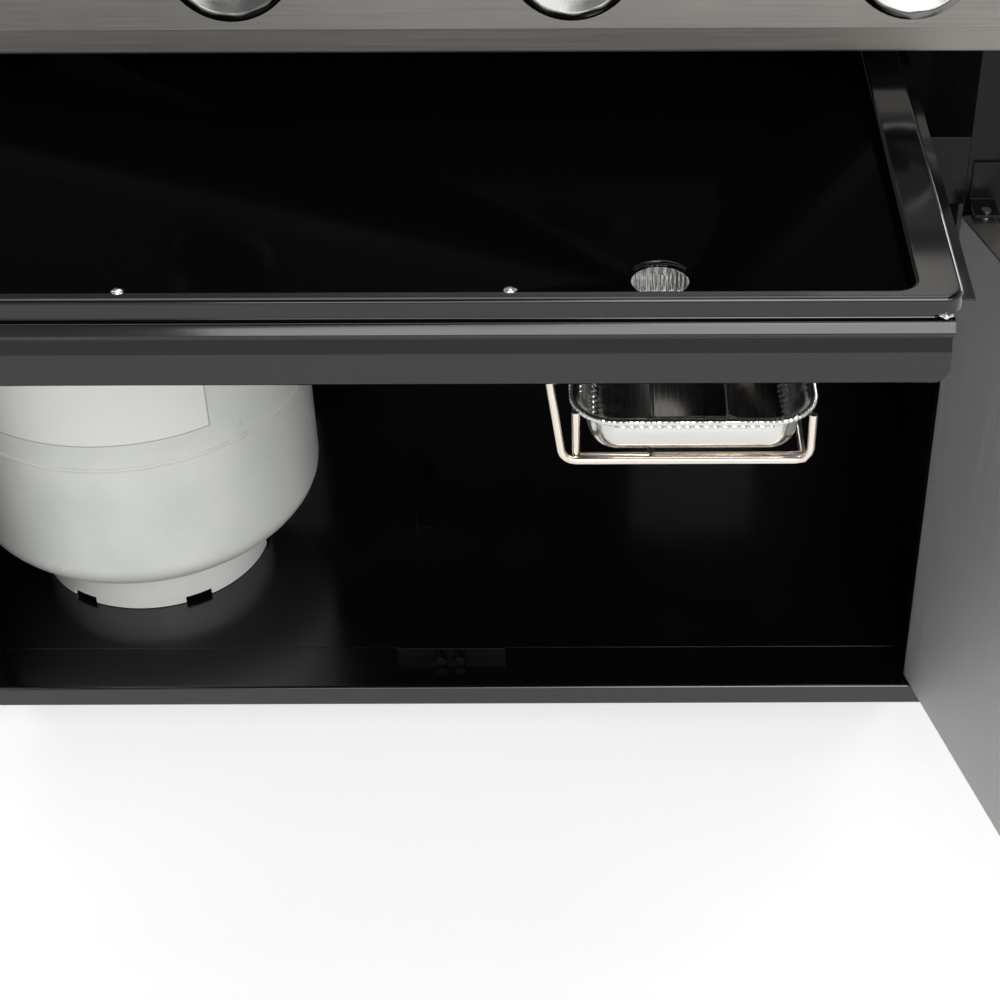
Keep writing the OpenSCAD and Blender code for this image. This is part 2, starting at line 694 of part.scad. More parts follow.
module firebox() color("#1d1d1e") in_row() {
    ledge = 9;
    flange_x = half_w - 2;
    difference() {
        union() {
            difference() {
                union() {
                    box_form(0);
                    // Hanging flanges on the side panels
                    for (side = [-1, 1])
                        translate([side > 0 ? wall_side(side_top) - 1 : -flange_x, stile_y + 20, side_top])
                            cube([flange_x - wall_side(side_top) + 1, cab_d - stile_y - 40, box_t]);
                    // Foot flanges above the tray rails
                    for (side = [-1, 1])
                        translate([side > 0 ? box_w / 2 - box_narrow - 2 : -box_w / 2 + box_narrow - 44,
                                   box_front + box_shallow, box_bottom])
                            cube([46, box_back - box_front - 2 * box_shallow, box_t]);
                }
                translate([0, 0, 0.02]) box_form(-box_t);
                translate([0, 0, -0.02]) box_form(-box_t);
            }
            // Ledges all round for the heat tents and the grates
            for (z = [tent_z, grate_z]) difference() {
                intersection() {
                    box_form(-1);
                    translate([-box_w, 0, z - 3]) cube([2 * box_w, cab_d, 3]);
                }
                box_form(-box_t - ledge);
            }
        }
        for (i = [0:3]) {
            translate([knob_x(i), 0, burner_z]) rotate([-90, 0, 0])
                cylinder(h = cab_d / 2, d = burner_d + 2 * slip);
            translate([knob_x(i), cab_d / 2, burner_z]) rotate([-90, 0, 0])
                cylinder(h = cab_d / 2, d = 10 + 2 * slip);
        }
    }
}

module burners() color("#9c9a94") in_row() for (i = [0:3]) {
    mouth_y = wall_front(burner_z) - 9;
    end_y = wall_back(burner_z) - box_t - 8;
    difference() {
        union() {
            translate([knob_x(i), mouth_y, burner_z]) rotate([-90, 0, 0])
                cylinder(h = end_y - mouth_y, d = burner_d);
            translate([knob_x(i), end_y - 1, burner_z]) rotate([-90, 0, 0]) cylinder(h = 14, d = 10);
        }
        translate([knob_x(i), mouth_y - 1, burner_z]) rotate([-90, 0, 0])
            cylinder(h = end_y - mouth_y - 1, d = burner_d - 2);
        // Air openings behind the mouth
        translate([knob_x(i) - 20, wall_front(burner_z) + 12, burner_z - 5]) cube([40, 22, 10]);
    }
}

module heat_tents() color("#b3b1ab") in_row() for (i = [0:3]) {
    wing = 32;
    peak = 22;
    front = wall_front(tent_z) + box_t + 1;
    translate([knob_x(i), (wall_front(tent_z) + wall_back(tent_z)) / 2, tent_z])
        rotate([90, 0, 0])
            linear_extrude(2 * ((wall_front(tent_z) + wall_back(tent_z)) / 2 - front), center = true)
                folded([[wing, 0], [0, peak], [-wing, 0]], -1.2);
}

module cooking_grate(side) color("#2a2a2b") in_row() at_side(side) {
    bar = 7;
    bars = 22;
    edge = 2;
    front = wall_front(grate_z) + box_t + 1;
    long = wall_back(grate_z) - box_t - 1 - front;
    wide = wall_side(grate_z) - box_t - 2 * edge;
    pitch = (wide - bar) / (bars - 1);
    for (k = [0:bars - 1])
        translate([edge + k * pitch, front, grate_z + 4]) cube([bar, long, 8]);
    for (y = [front, front + long / 2 - 5, front + long - 10])
        translate([edge, y, grate_z]) cube([wide, 10, 9]);
}

module warming_rack() color("#bcbab5") in_row() {
    d = 5;
    z = box_top + 0.356 * lid_h;
    x = box_w / 2 - 16;
    front = 0.6 * cab_d;
    back = 0.85 * cab_d;
    foot = box_top + d / 2 + slip;
    // Two legs hook over the firebox's side edges.
    for (y = [front, back])
        wire(rounded([[-x - 16, foot], [-x, foot], [-x, z], [x, z], [x, foot], [x + 16, foot]], 10, 3),
             [1, 0, 0], [0, 0, 1], d, [0, y, 0], 8);
    for (k = [-16:16])
        rod([k * (x - 18) / 16, front, z + d / 4], [k * (x - 18) / 16, back, z + d / 4], 3.6);
}

// ---- lid -----------------------------------------------------------------------------------

function lid_path() = [[lid_front, box_top + slip], [lid_front, lid_bend],
    [box_front + 140, lid_top], [lid_back - 50, lid_top], [lid_back, lid_top - 95], [lid_back, lid_pin[1] + 9]];

module lid_shell() color("#b4b3af") in_row() {
    path = rounded(lid_path(), lid_round, 10);
    along_x(lid_w) folded(path, -1.2);
}

module lid_end(side) color("#2a2a2b") in_row() at_side(side) {
    outline = concat(rounded(lid_path(), lid_round, 10), [[lid_pin[0], box_top + slip]]);
    translate([lid_w / 2 + lid_end_t / 2, 0, 0]) difference() {
        union() {
            along_x(lid_end_t) polygon(outline);
            translate([-lid_end_t / 2, lid_pin[0], lid_pin[1]]) rotate([0, 90, 0])
                cylinder(h = lid_end_t, d = 27);
        }
        translate([-20, lid_pin[0], lid_pin[1]]) rotate([0, 90, 0]) cylinder(h = 40, d = lid_pin_d + 2 * fit);
    }
}

module lid_handle() color("#c9c8c4") in_row()
    translate([-lid_bar / 2, lid_front - bar_out, bar_z]) rotate([0, 90, 0]) cylinder(h = lid_bar, d = bar_d);

module lid_handle_posts() color("#2a2a2b") in_row() for (side = [-1, 1])
    translate([side * post_x, lid_front, bar_z]) rotate([90, 0, 0]) difference() {
        union() {
            cylinder(h = 4, d = 34);
            cylinder(h = bar_out, d = 18);
        }
        translate([-30, 0, bar_out]) rotate([0, 90, 0]) cylinder(h = 60, d = bar_d);
    }

module thermometer() color("#d0cfcb") in_row() {
    low = [lid_front, lid_bend];
    high = [box_front + 140, lid_top];
    middle = (low + high) / 2;
    lean = atan2(high[0] - low[0], high[1] - low[1]);
    translate([0, middle[0], middle[1]]) rotate([90 - lean, 0, 0]) difference() {
        cylinder(h = 9, d1 = 84, d2 = 78);
        translate([0, 0, 7]) cylinder(h = 5, d = 70);
    }
}

module lid_hinges() color("#2a2a2b") in_row() for (side = [-1, 1]) at_side(side) {
    x = lid_w / 2 + lid_end_t + 1;
    plate_w = 30;
    foot = side_top + box_t;
    // Plate on the firebox's flange, and the pin that enters the lid's end casting
    translate([x, lid_pin[0] - plate_w / 2, foot]) cube([hinge_t, plate_w, lid_pin[1] - foot]);
    translate([x, lid_pin[0], lid_pin[1]]) rotate([0, 90, 0]) cylinder(h = hinge_t, d = plate_w);
    translate([lid_w / 2 + 1, lid_pin[0], lid_pin[1]]) rotate([0, 90, 0])
        cylinder(h = lid_end_t + 1, d = lid_pin_d);
}

// ---- shelves -------------------------------------------------------------------------------

// Outline of a shelf with its two outer corners rounded, cut back by t on the three free edges
module shelf_blank(t) polygon(concat(
    [[0, t]],
    bend([0, t], [shelf_w - t, t], [shelf_w - t, shelf_d - t], shelf_corner - t, 8),
    bend([shelf_w - t, t], [shelf_w - t, shelf_d - t], [0, shelf_d - t], shelf_corner - t, 8),
    [[0, shelf_d - t]]));

module side_shelf(side) color("#a9a8a4") in_row() at_side(side) difference() {
    translate([half_w, shelf_front, side_top - shelf_h]) linear_extrude(shelf_h) shelf_blank(0);
    translate([half_w, shelf_front, side_top - shelf_h - 1])
        linear_extrude(shelf_h - sheet_t + 1) difference() {
            shelf_blank(sheet_t);
            translate([-1, 0]) square([1 + sheet_t, shelf_d]);
        }
}

module shelf_brackets() color("#2a2a2b") in_row() for (side = [-1, 1], y = [90, cab_d - 80]) at_side(side) {
    arm = shelf_w - 60;
    drop = 110;
    gusset_t = 2.5;
    tab = 20;
    top = side_top - sheet_t;
    under = side_top - shelf_h - 1;
    // Gusset under the shelf, notched round its rim, with a tab on the side panel
    translate([half_w, y, 0]) rotate([90, 0, 0]) linear_extrude(gusset_t)
        polygon([[0, top - drop], [0, under], [sheet_t + 0.5, under], [sheet_t + 0.5, top],
                 [arm, top], [arm, top - 14], [30, top - drop]]);
    translate([half_w, y - tab, top - drop]) cube([2, tab, drop - shelf_h - 1]);
}

// ---- gas cylinder --------------------------------------------------------------------------

// Half section of the cylinder's body with domed ends of height h
module shell_half(r, h) polygon(concat(
    [for (a = [-90:6:0]) [r * cos(a), shell_low + dome_h + h * sin(a)]],
    [for (a = [0:6:90]) [r * cos(a), shell_top - dome_h + h * sin(a)]]));

module at_tank() in_row() translate([tank_x, tank_y, 0]) children();

module cylinder_shell() color("#e4e5e1") at_tank() rotate_extrude($fn = 96) difference() {
    shell_half(tank_d / 2, dome_h);
    shell_half(tank_d / 2 - tank_wall, dome_h - tank_wall);
}

module cylinder_foot_ring() color("#e4e5e1") at_tank() difference() {
    ring_h = 50;
    translate([0, 0, tank_z]) cylinder(h = ring_h, d = foot_d, $fn = 96);
    translate([0, 0, tank_z - 1]) cylinder(h = ring_h + 2, d = foot_d - 2 * tank_wall, $fn = 96);
    rotate_extrude($fn = 96) shell_half(tank_d / 2 + eps, dome_h + eps);
    // Drain notches in the lower edge
    for (a = [0:60:300]) rotate([0, 0, a]) translate([0, -12, tank_z - 1]) cube([foot_d, 24, 7]);
}

module cylinder_collar() color("#e4e5e1") at_tank() difference() {
    collar_low = shell_top - dome_h;
    front_w = 90;
    hand_w = 80;
    translate([0, 0, collar_low]) cylinder(h = collar_top - collar_low, d = collar_d, $fn = 96);
    translate([0, 0, collar_low - 1]) cylinder(h = tank_h, d = collar_d - 2 * tank_wall, $fn = 96);
    rotate_extrude($fn = 96) shell_half(tank_d / 2 + eps, dome_h + eps);
    // Opening towards the front for the valve, and four hand holes
    translate([-front_w / 2, -collar_d, shell_top]) cube([front_w, collar_d, tank_h]);
    for (a = [-30, 30, 150, 210])
        rotate([0, 0, a]) translate([0, -hand_w / 2, collar_top - 50]) cube([collar_d, hand_w, 24]);
}

module cylinder_valve() color("#b08d4a") at_tank() {
    wheel_h = 16;
    lobes = 12;
    translate([0, 0, shell_top + slip]) cylinder(h = 16, d = 38);
    translate([0, 0, shell_top + 12]) cylinder(h = 44, d = 26);
    // Outlet towards the front, with the hand wheel above it
    translate([0, 0, shell_top + 28]) rotate([90, 0, 0]) cylinder(h = 46, d = 28);
    difference() {
        translate([0, 0, shell_top + 54]) cylinder(h = wheel_h, d = 56);
        for (k = [0:lobes - 1]) rotate([0, 0, 360 * k / lobes])
            translate([30, 0, shell_top + 50]) cylinder(h = wheel_h + 8, d = 8);
    }
}

// ---- casters -------------------------------------------------------------------------------

function caster_at(i) = [i % 2 == 0 ? -caster_x : caster_x, caster_ys[floor(i / 2)], 0];
module caster_fork(i) color("#8f8f8c") in_row() translate(caster_at(i)) {
    eye = 10;
    outer = cheek_gap + cheek_t;
    cheek = concat([[-14, crown_z + 1], [-14, crown_z - 8]],
                   [for (a = [200:20:340]) [trail + eye * cos(a), wheel_d / 2 + eye * sin(a)]],
                   [[19, crown_z - 4], [19, crown_z + 1]]);
    // Crown, with a cheek on each side of the wheel
    translate([0, 0, crown_z]) cylinder(h = channel_z - slip - crown_z, d = 46);
    for (x = [cheek_gap, -outer])
        translate([x, 0, 0]) rotate([90, 0, 90]) linear_extrude(cheek_t) polygon(cheek);
    // Swivel stem with its riveted head above the channel, and the wheel's axle
    translate([0, 0, channel_z - 2]) cylinder(h = stem_top - channel_z + 2, r = stem_r);
    translate([0, 0, channel_z + 2 + slip]) cylinder(h = 3, d = 15);
    translate([-outer, trail, wheel_d / 2]) rotate([0, 90, 0]) cylinder(h = 2 * outer, d = axle_d);
}

module caster_wheel(i) color("#242424") in_row() translate(caster_at(i) + [0, trail, wheel_d / 2])
    rotate([0, 90, 0]) rotate_extrude($fn = 64) {
        r = wheel_d / 2;
        h = wheel_w / 2;
        bore = axle_d / 2 + fit;
        polygon([[bore, -h], [bore + 5, -h], [bore + 6, -h + 4], [r - 9, -h + 4], [r - 8, -h], [r - 3, -h],
                 [r, -h + 4], [r, h - 4], [r - 3, h], [r - 8, h], [r - 9, h - 4], [bore + 6, h - 4],
                 [bore + 5, h], [bore, h]]);
    }

// ---- the nodes -----------------------------------------------------------------------------

front_rail();
bottom_shelf();
base_channels();
side_panel(-1);  // side_panel_left
side_panel(1);  // side_panel_right
back_panel();
front_valance();
hinge_brackets();
door_catch();
tray_rail(-1);  // tray_rail_left
tray_rail(1);  // tray_rail_right
cylinder_guide();
firebox();
burners();
heat_tents();
cooking_grate(-1);  // cooking_grate_left
cooking_grate(1);  // cooking_grate_right
warming_rack();
gas_manifold();
burner_valves();
control_panel();
knob_bezels();
knob(0);  // knob_1
knob(1);  // knob_2
knob(2);  // knob_3
knob(3);  // knob_4
side_shelf(-1);  // side_shelf_left
side_shelf(1);  // side_shelf_right
shelf_brackets();
lid_shell();
lid_end(-1);  // lid_end_left
lid_end(1);  // lid_end_right
lid_handle();
lid_handle_posts();
thermometer();
lid_hinges();
caster_fork(0);  // caster_fork_1
caster_fork(1);  // caster_fork_2
caster_fork(2);  // caster_fork_3
caster_fork(3);  // caster_fork_4
caster_wheel(0);  // caster_wheel_1
caster_wheel(1);  // caster_wheel_2
caster_wheel(2);  // caster_wheel_3
caster_wheel(3);  // caster_wheel_4
cylinder_shell();
cylinder_foot_ring();
cylinder_collar();
cylinder_valve();
grease_tray();
tray_handle();
pan_holder();
foil_pan();
door(-1);  // door_left
door(1);  // door_right
door_liner(-1);  // door_liner_left
door_liner(1);  // door_liner_right
door_pins(-1);  // door_pins_left
door_pins(1);  // door_pins_right
door_handle(-1);  // door_handle_left
door_handle(1);  // door_handle_right
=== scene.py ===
"""A four-burner gas grill on its cabinet, with the grease tray pulled out and both doors open."""
import json
import math

import bmesh
import bpy
from mathutils import Matrix, Vector


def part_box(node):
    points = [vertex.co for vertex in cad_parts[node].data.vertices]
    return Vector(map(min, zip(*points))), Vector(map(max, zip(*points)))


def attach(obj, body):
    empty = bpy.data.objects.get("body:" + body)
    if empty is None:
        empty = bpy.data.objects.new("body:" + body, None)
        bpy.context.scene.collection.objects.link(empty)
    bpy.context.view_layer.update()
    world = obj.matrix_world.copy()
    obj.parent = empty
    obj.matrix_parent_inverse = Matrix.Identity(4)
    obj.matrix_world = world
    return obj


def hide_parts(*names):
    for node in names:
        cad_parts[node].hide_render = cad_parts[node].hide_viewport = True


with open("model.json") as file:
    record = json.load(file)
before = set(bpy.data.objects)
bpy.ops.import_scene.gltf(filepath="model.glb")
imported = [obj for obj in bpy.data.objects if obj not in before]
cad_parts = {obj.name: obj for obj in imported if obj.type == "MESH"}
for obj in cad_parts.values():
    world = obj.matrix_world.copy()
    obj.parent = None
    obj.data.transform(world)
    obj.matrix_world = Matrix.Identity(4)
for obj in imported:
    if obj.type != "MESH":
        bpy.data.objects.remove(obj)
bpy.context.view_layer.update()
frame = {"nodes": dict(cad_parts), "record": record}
nodes = frame["nodes"]
MM = 0.001

# ---- camera ------------------------------------------------------------------------------
# A long lens looks down into the open cabinet from just right of its middle.
sight = bpy.data.cameras.new("sight")
sight.sensor_width = 36
sight.lens = 72.9
sight.shift_x = -0.09
sight.shift_y = 0.0025
sight.clip_start = 0.05
camera = bpy.data.objects.new("camera", sight)
camera.location = (0.1205, -1.3007, 1.293)
tilt = Matrix.Rotation(math.radians(51.7), 3, "X")
roll = Matrix.Rotation(math.radians(-0.2), 3, "Z")
camera.rotation_euler = (tilt @ roll).to_euler()
bpy.context.collection.objects.link(camera)
bpy.context.scene.camera = camera
bpy.context.scene.view_settings.view_transform = "Standard"


# ---- materials ---------------------------------------------------------------------------
# Every pattern reads Object coordinates, and its scale is 1 / (the size of its features).
def linear(colour):
    """An sRGB hex colour as the linear numbers that the shaders use."""
    parts = [int(colour[i:i + 2], 16) / 255 for i in (1, 3, 5)]
    return tuple(p / 12.92 if p <= 0.04045 else ((p + 0.055) / 1.055) ** 2.4 for p in parts) + (1,)


def link(tree, node, **sources):
    """Links a node's named inputs to sockets, or to the first outputs of other nodes."""
    for name, source in sources.items():
        socket = source.outputs[0] if isinstance(source, bpy.types.Node) else source
        tree.links.new(socket, node.inputs[name.replace("_", " ")])


def add(tree, kind, settings=None, stops=(), **sources):
    """Adds a node, sets its inputs or its own options and a ramp's stops, and links its inputs."""
    node = tree.nodes.new("ShaderNode" + kind)
    for name, value in (settings or {}).items():
        if name in node.inputs:
            node.inputs[name].default_value = value
        else:
            setattr(node, name, value)
    for k, (at, colour) in enumerate(stops):
        node.color_ramp.elements[k].position = at
        node.color_ramp.elements[k].color = linear(colour)
    link(tree, node, **sources)
    return node


def new_material(name, colour, **shader_settings):
    """A material with a Principled shader, and Object coordinates for its patterns."""
    material = bpy.data.materials.new(name)
    material.use_nodes = True
    tree = material.node_tree
    tree.nodes.clear()
    shader = add(tree, "BsdfPrincipled", {"Base Color": linear(colour), **shader_settings})
    add(tree, "OutputMaterial", Surface=shader)
    place = add(tree, "TexCoord").outputs["Object"]
    return material, tree, shader, place


# Noise hardly ever leaves this range, so it is stretched from here to the values that are wanted.
noise_range = {"From Min": 0.3, "From Max": 0.7}


def porcelain_enamel(name, colour, rough, ior=1.52, peel_mm=6):
    # Vitreous enamel fired on sheet steel: deep gloss, a faint orange peel and a few pinholes.
    material, tree, shader, place = new_material(name, colour, Roughness=rough, IOR=ior)
    smudges = add(tree, "TexNoise", {"Scale": 1 / (90 * MM), "Detail": 4}, Vector=place)
    gloss = add(tree, "MapRange", {**noise_range, "To Min": rough * 0.8, "To Max": rough * 1.4},
                Value=smudges)
    specks = add(tree, "TexNoise", {"Scale": 1 / (1.6 * MM), "Detail": 2}, Vector=place)
    pinholes = add(tree, "ValToRGB", stops=[(0.72, colour), (0.8, "#1c1d20")], Fac=specks)
    waves = add(tree, "TexNoise", {"Scale": 1 / (peel_mm * MM), "Detail": 1}, Vector=place)
    orange_peel = add(tree, "Bump", {"Strength": 0.3, "Distance": 0.02 * MM}, Height=waves)
    link(tree, shader, Roughness=gloss, Base_Color=pinholes, Normal=orange_peel)
    return material


def powder_coat(name, colour, rough, ior=1.5):
    # Powder coat baked on sheet steel: satin, with a grain of about a millimetre.
    material, tree, shader, place = new_material(name, colour, Roughness=rough, IOR=ior)
    smudges = add(tree, "TexNoise", {"Scale": 1 / (60 * MM), "Detail": 4}, Vector=place)
    satin = add(tree, "MapRange", {**noise_range, "To Min": rough - 0.05, "To Max": rough + 0.1},
                Value=smudges)
    grains = add(tree, "TexNoise", {"Scale": 1 / (1.2 * MM), "Detail": 2}, Vector=place)
    relief = add(tree, "Bump", {"Strength": 0.5, "Distance": 0.04 * MM}, Height=grains)
    link(tree, shader, Roughness=satin, Normal=relief)
    return material


def brushed_stainless(name, colour, dark, rough, lines=(90, 1, 1)):
    # Stainless sheet with a belt-ground finish. The real grain is 0.1 to 0.3 mm and is drawn
    # coarser here, so that it shows as fine parallel lines, many times as long as they are wide.
    material, tree, shader, place = new_material(name, colour, Metallic=1.0, Roughness=rough)
    drawn_out = add(tree, "Mapping", {"Scale": [1 / length for length in lines]}, Vector=place)
    grain = add(tree, "TexNoise", {"Scale": 1 / (0.8 * MM), "Detail": 3}, Vector=drawn_out)
    clouds = add(tree, "TexNoise", {"Scale": 1 / (140 * MM), "Detail": 3}, Vector=place)
    mixed = add(tree, "Mix", {"data_type": "FLOAT", "Factor": 0.4}, A=grain, B=clouds)
    tone = add(tree, "ValToRGB", stops=[(0.3, dark), (0.7, colour)], Fac=mixed)
    satin = add(tree, "MapRange", {**noise_range, "To Min": rough - 0.04, "To Max": rough + 0.06},
                Value=grain)
    scratches = add(tree, "Bump", {"Strength": 0.15, "Distance": 0.003 * MM}, Height=grain)
    link(tree, shader, Base_Color=tone, Roughness=satin, Normal=scratches)
    return material


def plated_steel(name, colour, rough=0.32):
    # Zinc-plated or bright-drawn steel: grey, with a cloudy spangle of some 8 mm.
    material, tree, shader, place = new_material(name, colour, Metallic=1.0, Roughness=rough)
    spangle = add(tree, "TexNoise", {"Scale": 1 / (8 * MM), "Detail": 3}, Vector=place)
    sheen = add(tree, "MapRange", {**noise_range, "To Min": rough - 0.08, "To Max": rough + 0.12},
                Value=spangle)
    ripples = add(tree, "TexNoise", {"Scale": 1 / (2 * MM), "Detail": 2}, Vector=place)
    relief = add(tree, "Bump", {"Strength": 0.3, "Distance": 0.02 * MM}, Height=ripples)
    link(tree, shader, Roughness=sheen, Normal=relief)
    return material


def bright_plate(name, colour, rough=0.09):
    # Nickel-chrome plate on polished steel: a clear mirror with faint handling smears.
    material, tree, shader, place = new_material(name, colour, Metallic=1.0, Roughness=rough)
    smears = add(tree, "TexNoise", {"Scale": 1 / (25 * MM), "Detail": 4}, Vector=place)
    gloss = add(tree, "MapRange", {**noise_range, "To Min": rough * 0.6, "To Max": rough * 1.9},
                Value=smears)
    link(tree, shader, Roughness=gloss)
    return material


def rolled_foil():
    # Soft aluminium foil of 0.1 mm, pressed over a die: bright, with small dents and with lines
    # from the rolls, drawn at 1.1 mm so that they show.
    material, tree, shader, place = new_material("rolled_aluminium_foil", "#d0cfcd", Metallic=1.0,
                                                 Roughness=0.18)
    drawn_out = add(tree, "Mapping", {"Scale": (1, 1 / 60, 1)}, Vector=place)
    lines = add(tree, "TexNoise", {"Scale": 1 / (1.1 * MM), "Detail": 2}, Vector=drawn_out)
    gloss = add(tree, "MapRange", {**noise_range, "To Min": 0.14, "To Max": 0.22}, Value=lines)
    dents = add(tree, "TexNoise", {"Scale": 1 / (14 * MM), "Detail": 2}, Vector=place)
    relief = add(tree, "Bump", {"Strength": 0.25, "Distance": 0.12 * MM}, Height=dents)
    link(tree, shader, Roughness=gloss, Normal=relief)
    return material


def cast_iron():
    # Sand-cast iron under a matt black enamel: pitted on a scale of 2 mm.
    material, tree, shader, place = new_material("enamelled_cast_iron", "#232324", Roughness=0.5,
                                                 IOR=1.5)
    soot = add(tree, "TexNoise", {"Scale": 1 / (30 * MM), "Detail": 4}, Vector=place)
    tone = add(tree, "ValToRGB", stops=[(0.35, "#1b1b1c"), (0.65, "#2d2c2b")], Fac=soot)
    pits = add(tree, "TexNoise", {"Scale": 1 / (2.2 * MM), "Detail": 4}, Vector=place)
    relief = add(tree, "Bump", {"Strength": 0.7, "Distance": 0.25 * MM}, Height=pits)
    link(tree, shader, Base_Color=tone, Normal=relief)
    return material


def turned_brass():
    # Free-machining brass, turned and slightly dulled by handling.
    material, tree, shader, place = new_material("turned_brass", "#c6a25a", Metallic=1.0,
                                                 Roughness=0.3)
    tarnish = add(tree, "TexNoise", {"Scale": 1 / (12 * MM), "Detail": 4}, Vector=place)
    tone = add(tree, "ValToRGB", stops=[(0.35, "#a5813f"), (0.65, "#d0ae69")], Fac=tarnish)
    drawn_out = add(tree, "Mapping", {"Scale": (1, 1, 1 / 30)}, Vector=place)
    grooves = add(tree, "TexNoise", {"Scale": 1 / (1 * MM), "Detail": 2}, Vector=drawn_out)
    relief = add(tree, "Bump", {"Strength": 0.3, "Distance": 0.03 * MM}, Height=grooves)
    link(tree, shader, Base_Color=tone, Normal=relief)
    return material


def moulded_plastic():
    # Heat-proof phenolic, compression moulded with a fine matt texture.
    material, tree, shader, place = new_material("moulded_phenolic", "#232425", Roughness=0.42,
                                                 IOR=1.55)
    grains = add(tree, "TexNoise", {"Scale": 1 / (0.9 * MM), "Detail": 2}, Vector=place)
    relief = add(tree, "Bump", {"Strength": 0.5, "Distance": 0.04 * MM}, Height=grains)
    link(tree, shader, Normal=relief)
    return material


def cylinder_enamel():
    # Off-white enamel sprayed on welded steel: a soft gloss, a light orange peel and rubbed patches.
    material, tree, shader, place = new_material("cylinder_spray_enamel", "#d9dbd7", Roughness=0.33,
                                                 IOR=1.5)
    wear = add(tree, "TexNoise", {"Scale": 1 / (120 * MM), "Detail": 5}, Vector=place)
    tone = add(tree, "ValToRGB", stops=[(0.35, "#cfd1cc"), (0.65, "#dfe0dc")], Fac=wear)
    rubs = add(tree, "TexNoise", {"Scale": 1 / (40 * MM), "Detail": 4}, Vector=place)
    gloss = add(tree, "MapRange", {**noise_range, "To Min": 0.27, "To Max": 0.42}, Value=rubs)
    waves = add(tree, "TexNoise", {"Scale": 1 / (4 * MM), "Detail": 2}, Vector=place)
    orange_peel = add(tree, "Bump", {"Strength": 0.4, "Distance": 0.06 * MM}, Height=waves)
    link(tree, shader, Base_Color=tone, Roughness=gloss, Normal=orange_peel)
    return material


def wheel_rubber():
    # Thermoplastic rubber tread: dark, nearly matt, dusty on the running face.
    material, tree, shader, place = new_material("caster_rubber", "#242424", Roughness=0.7, IOR=1.5)
    dust = add(tree, "TexNoise", {"Scale": 1 / (14 * MM), "Detail": 4}, Vector=place)
    tone = add(tree, "ValToRGB", stops=[(0.35, "#1d1d1d"), (0.65, "#343331")], Fac=dust)
    scuffs = add(tree, "TexNoise", {"Scale": 1 / (1.5 * MM), "Detail": 3}, Vector=place)
    relief = add(tree, "Bump", {"Strength": 0.5, "Distance": 0.08 * MM}, Height=scuffs)
    link(tree, shader, Base_Color=tone, Normal=relief)
    return material


def plain_print(name, colour, rough=0.4):
    # Printed or painted marks: an even coat whose surface is very slightly uneven.
    material, tree, shader, place = new_material(name, colour, Roughness=rough)
    fibres = add(tree, "TexNoise", {"Scale": 1 / (2 * MM), "Detail": 2}, Vector=place)
    relief = add(tree, "Bump", {"Strength": 0.3, "Distance": 0.02 * MM}, Height=fibres)
    link(tree, shader, Normal=relief)
    return material


# An IOR far below 1.5 stands for a coat that grease, soot or dust has dulled.
finish = {
    "black_enamel": porcelain_enamel("gloss_black_enamel", "#08080a", rough=0.16, ior=1.65, peel_mm=8),
    "tray_enamel": porcelain_enamel("black_porcelain_enamel", "#08080a", rough=0.1),
    "cabinet_paint": powder_coat("black_powder_coat", "#060607", rough=0.3, ior=1.28),
    "brushed_stainless": brushed_stainless("brushed_stainless_sheet", "#a29f9a", "#918e89", rough=0.4),
    "liner_steel": brushed_stainless("brushed_liner_steel", "#b2b3b2", "#a6a7a6", rough=0.58,
                                     lines=(1, 1, 90)),
    "stainless_parts": brushed_stainless("satin_stainless", "#b4b1aa", "#8d8983", rough=0.36,
                                         lines=(1, 90, 1)),
    "firebox_enamel": powder_coat("heat_proof_enamel", "#1a1a1b", rough=0.5),
    "grate_iron": cast_iron(),
    "zinc_steel": plated_steel("zinc_plated_steel", "#a3a4a2"),
    "valve_brass": turned_brass(),
    "chrome_trim": bright_plate("bright_chrome_plate", "#d8d7d4"),
    "handle_steel": brushed_stainless("drawn_stainless_tube", "#c9c7c2", "#a8a5a0", rough=0.25,
                                      lines=(60, 1, 60)),
    "holder_wire": bright_plate("nickel_plated_wire", "#d9d0c4", rough=0.13),
    "foil": rolled_foil(),
    "black_casting": powder_coat("black_painted_casting", "#161617", rough=0.4),
    "knob_plastic": moulded_plastic(),
    "cylinder_paint": cylinder_enamel(),
    "wheel_rubber": wheel_rubber(),
}
bare_metal = plated_steel("bare_steel_spot", "#d6d5d2", rough=0.25)
# Inside the basin a thin film of grease and soot takes the edge off the enamel's gloss.
basin_enamel = porcelain_enamel("greased_porcelain_enamel", "#050506", rough=0.12, ior=1.08)
dial_face = plain_print("printed_dial", "#e9e8e3")
dial_ink = plain_print("dial_ink", "#1c1c1d")
pointer_red = plain_print("pointer_paint", "#a8261c")
blank_label = plain_print("blank_paper_label", "#e6e7e3", rough=0.5)
label_frame = plain_print("label_frame_ink", "#a9abab", rough=0.5)
# The panel's face and its folded bottom edge are coloured darker than the rest of the brushed
# stainless, the face much more than the edge: painted shade. The edge is also rougher than the face.
panel_face_painted_shade = brushed_stainless("stainless_face_painted_shade", "#75726e", "#5f5d5a", rough=0.42)
panel_edge_painted_shade = brushed_stainless("stainless_edge_painted_shade", "#908d87", "#7f7c75", rough=0.6)
# The knob bezels' chrome is coloured darker than the other chrome: painted shade.
bezel_plate_painted_shade = bright_plate("chrome_plate_painted_shade", "#6d6c6a", rough=0.16)

slot_of = {part["node"]: part["material_slot"] for part in frame["record"]["subparts"]}
for name, thing in nodes.items():
    for place_in_list in thing.material_slots:
        place_in_list.material = finish[slot_of[name]]
bodies = frame["record"]["behaviour"]["bodies"]
body_of = {node: body for body, group in bodies.items() for node in group}


# ---- helpers for new pieces --------------------------------------------------------------
merge_within = 0.004 * MM  # Corners of the CAD triangles that are closer than this are one.
flat_turn = math.radians(0.6)  # Faces that turn less than this are one face.
sharp_turn = math.radians(30)  # Edges that turn more than this can be rounded.
rounding_room = 2.4  # A rounding needs faces that reach this many times its width.


